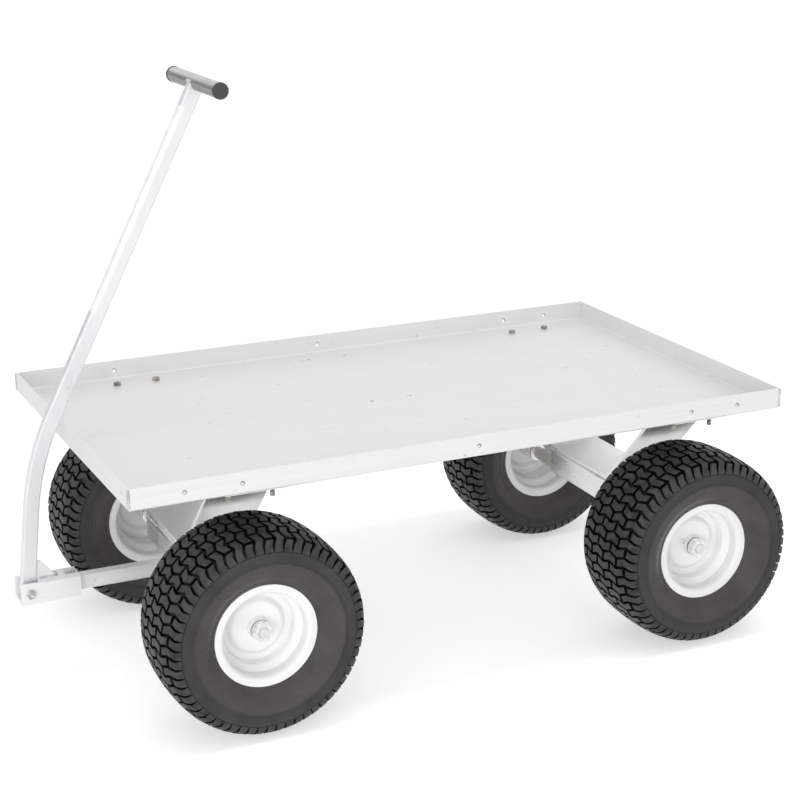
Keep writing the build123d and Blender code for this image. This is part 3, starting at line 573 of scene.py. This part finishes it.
rows = 60
pitch = 2 * math.pi * tyre_r / rows
groove = 0.0038
cut = 0.0062
depth = 0.0080
wave = 0.040
swing = 0.0034
shoulder_at = 0.070
fade_at, fade_length = 0.0975, 0.0115
skin = [(0.0000, 0.0000, 0.1790), (0.0200, 0.0200, 0.1786), (0.0400, 0.0400, 0.1774),
        (0.0560, 0.0560, 0.1758), (0.0700, 0.0690, 0.1719), (0.0777, 0.0757, 0.1681),
        (0.0843, 0.0802, 0.1633), (0.0910, 0.0832, 0.1573), (0.0955, 0.0843, 0.1530)]


def on_skin(reach):
    """Place across the tyre and radius, at a distance along the tread's skin from its middle."""
    for (near, near_z, near_r), (far, far_z, far_r) in zip(skin, skin[1:]):
        if abs(reach) <= far:
            part = (abs(reach) - near) / (far - near)
            return math.copysign(near_z + (far_z - near_z) * part, reach), near_r + (far_r - near_r) * part


def groove_side(line, side, reach):
    """Point on one side of a zigzag groove, which narrows to nothing down the shoulder."""
    past = max(0, abs(reach) - shoulder_at)
    along = math.copysign(min(abs(reach), shoulder_at) + min(past * 1.4, wave / 2), reach)
    bend = 1 - 4 * abs((along - wave / 4) / wave % 1.0 - 0.5)
    taper = min(1.3, max(0.15, (fade_at - abs(reach)) / fade_length))
    z, r = on_skin(reach)
    return line * pitch + swing * bend + side * groove / 2 * taper, r - tyre_r, z


lugs = []
ends = [0.0777, 0.0843, 0.0910, 0.0955]
for row, cuts in enumerate(((-0.050, -0.010, 0.030, 0.070), (-0.070, -0.030, 0.010, 0.050))):
    spans = [(0, [a + cut / 2, (a + b) / 2, b - cut / 2]) for a, b in zip(cuts, cuts[1:])]
    for side, last in ((-1, -cuts[0]), (1, cuts[-1])):
        spans.append((side, [side * reach for reach in [last + cut / 2, shoulder_at] + ends if reach > last]))
    for side, span in spans:
        lines = []
        for line, edge in ((row, 1), (row + 1, -1)):
            lines.append(trace("lug", [groove_side(line, edge, reach) for reach in span]))
            bpy.ops.object.mode_set(mode="OBJECT")
        lug = join(lines)
        # Each lug's top is marked 1 and its extruded foot 0, so its walls fade into painted shade.
        lug.data.attributes.active = lug.data.attributes.new("block_top", "FLOAT", "POINT")
        bpy.ops.object.mode_set(mode="EDIT")
        bpy.ops.mesh.select_all(action="SELECT")
        bpy.ops.mesh.bridge_edge_loops()
        bpy.ops.mesh.select_all(action="SELECT")
        bpy.ops.mesh.attribute_set(value_float=1.0)
        bpy.ops.mesh.extrude_region_move(TRANSFORM_OT_translate={"value": (0, -depth, -side * depth * 0.6)})
        bpy.ops.mesh.attribute_set(value_float=0.0)
        bpy.ops.mesh.select_all(action="SELECT")
        bpy.ops.mesh.normals_make_consistent(inside=False)
        bpy.ops.object.mode_set(mode="OBJECT")
        lugs.append(lug)
tread = join(lugs)
soft = tread.modifiers.new("soft_edges", "BEVEL")
soft.width = 0.0008
soft.segments = 1
soft.limit_method = "ANGLE"
soft.angle_limit = math.radians(50)
bpy.ops.object.modifier_apply(modifier="soft_edges")
belt = tread.modifiers.new("belt", "ARRAY")
belt.use_relative_offset = False
belt.use_constant_offset = True
belt.constant_offset_displace = (2 * pitch, 0, 0)
belt.count = rows // 2
bpy.ops.object.modifier_apply(modifier="belt")
reach = [vertex.co.x for vertex in tread.data.vertices]
wrap = tread.modifiers.new("wrap", "SIMPLE_DEFORM")
wrap.deform_method = "BEND"
wrap.deform_axis = "Z"
wrap.angle = -(max(reach) - min(reach)) / tyre_r
bpy.ops.object.modifier_apply(modifier="wrap")
tread.location = (0, 0, tyre_r)
tread.rotation_euler = (math.radians(90), 0, 0)
bpy.ops.object.transform_apply(location=True, rotation=True, scale=True)
casing = join([casing, tread])
bpy.ops.object.shade_smooth_by_angle(angle=math.radians(32))
casing.data.materials.clear()
casing.data.materials.append(rubber)
from_axle = casing.data.attributes.new("from_axle", "FLOAT", "POINT")
for vertex, spot in zip(casing.data.vertices, from_axle.data):
    spot.value = math.hypot(vertex.co.x, vertex.co.z)
for name, turn in zip(wheel_names, (11, 47, 83, 131)):
    low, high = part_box("tyre_" + name)
    bpy.ops.object.select_all(action="DESELECT")
    casing.select_set(True)
    bpy.context.view_layer.objects.active = casing
    bpy.ops.object.duplicate()
    tyre = bpy.context.object
    tyre.name = "treaded_tyre_" + name
    tyre.rotation_euler = (0, math.radians(turn), 0)
    tyre.location = (low + high) / 2
    bpy.ops.object.transform_apply(location=True, rotation=True, scale=True)
    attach(tyre, "wheel_" + name)
    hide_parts("tyre_" + name)
bpy.data.objects.remove(casing)

# The rims are pressed steel in white gloss paint, with the hub tube welded through the disc and
# painted with it. The paint has a faint orange-peel skin and a little grey dust.
enamel, tree, shader = new_finish("white_enamel")
shader.inputs["Roughness"].default_value = 0.3
shader.inputs["Coat Weight"].default_value = 0.4
shader.inputs["Coat Roughness"].default_value = 0.12
dust = noise(tree, 18, 5)
dusty = tint(tree, dust, 0.32, (0.83, 0.825, 0.81), 0.6, (0.88, 0.88, 0.87))
tree.links.new(dusty, shader.inputs["Base Color"])
tree.links.new(bumps(tree, noise(tree, 260, 2), 0.05, 0.0004), shader.inputs["Normal"])
coat(enamel, *[part + name for part in ("rim_", "hub_") for name in wheel_names])
coat(bright_zinc, *["grease_fitting_" + name for name in wheel_names])
